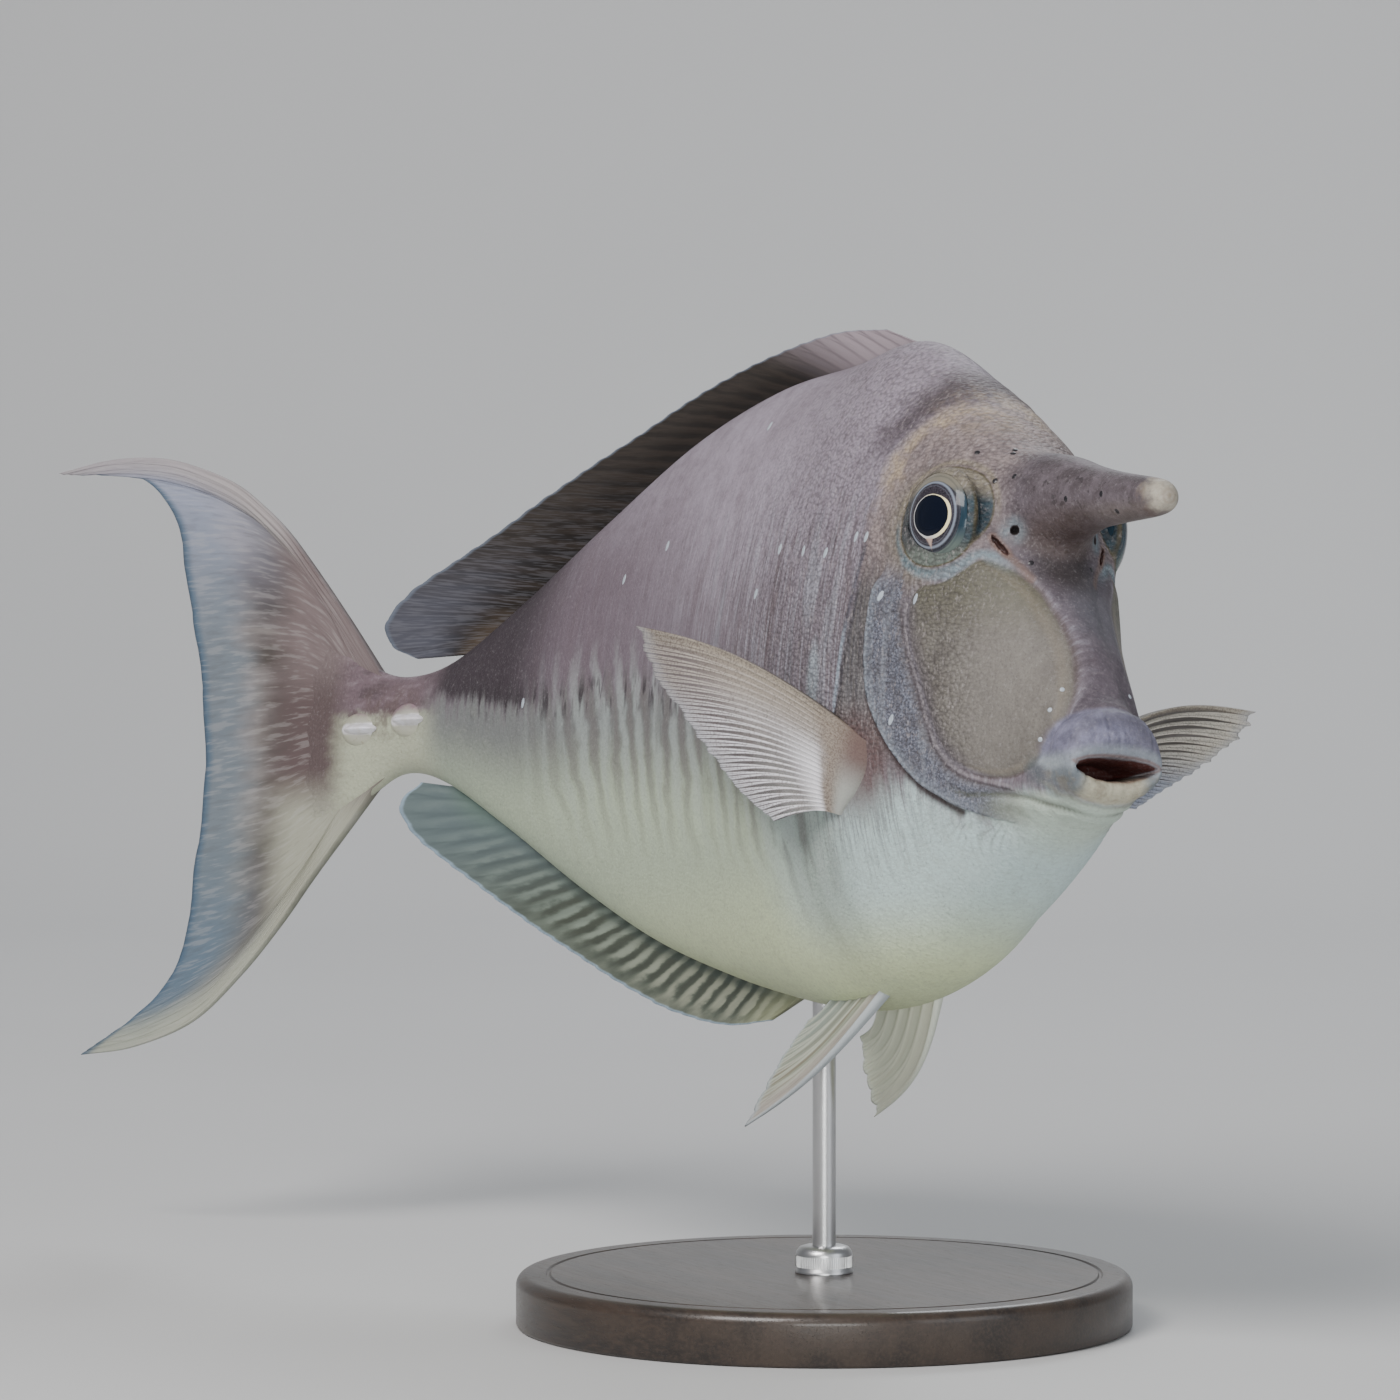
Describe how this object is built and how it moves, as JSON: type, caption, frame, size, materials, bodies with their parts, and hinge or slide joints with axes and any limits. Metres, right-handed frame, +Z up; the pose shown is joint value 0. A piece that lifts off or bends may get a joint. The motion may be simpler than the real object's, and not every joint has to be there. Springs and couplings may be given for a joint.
{
  "type": "unicornfish display model",
  "caption": "Life-size still model of a humpback unicornfish with a forehead horn, swept tail fin and keeled tail plates, held over a round base by a thin rod.",
  "frame": {"origin": "centre of the stand base's flat underside, under the rod", "axes": "+Z up, +X towards the fish's head, +Y to the fish's left"},
  "size_m": [0.609, 0.2549, 0.3388],
  "materials": {
    "skin": "satin, fine leathery grain",
    "eye": "polished",
    "fin": "satin",
    "stand_wood": "stained and waxed",
    "stand_steel": "brushed"
  },
  "bodies": {
    "root": {"head": "skin", "horn": "skin", "torso": "skin", "tail_stalk": "skin", "eye_left": "eye", "eye_right": "eye", "dorsal_fin": "fin", "anal_fin": "fin", "caudal_fin": "fin", "pectoral_fin_left": "fin", "pectoral_fin_right": "fin", "pelvic_fin_left": "fin", "pelvic_fin_right": "fin", "stand_base": "stand_wood", "stand_collar": "stand_steel", "stand_rod": "stand_steel"}
  },
  "joints": []
}
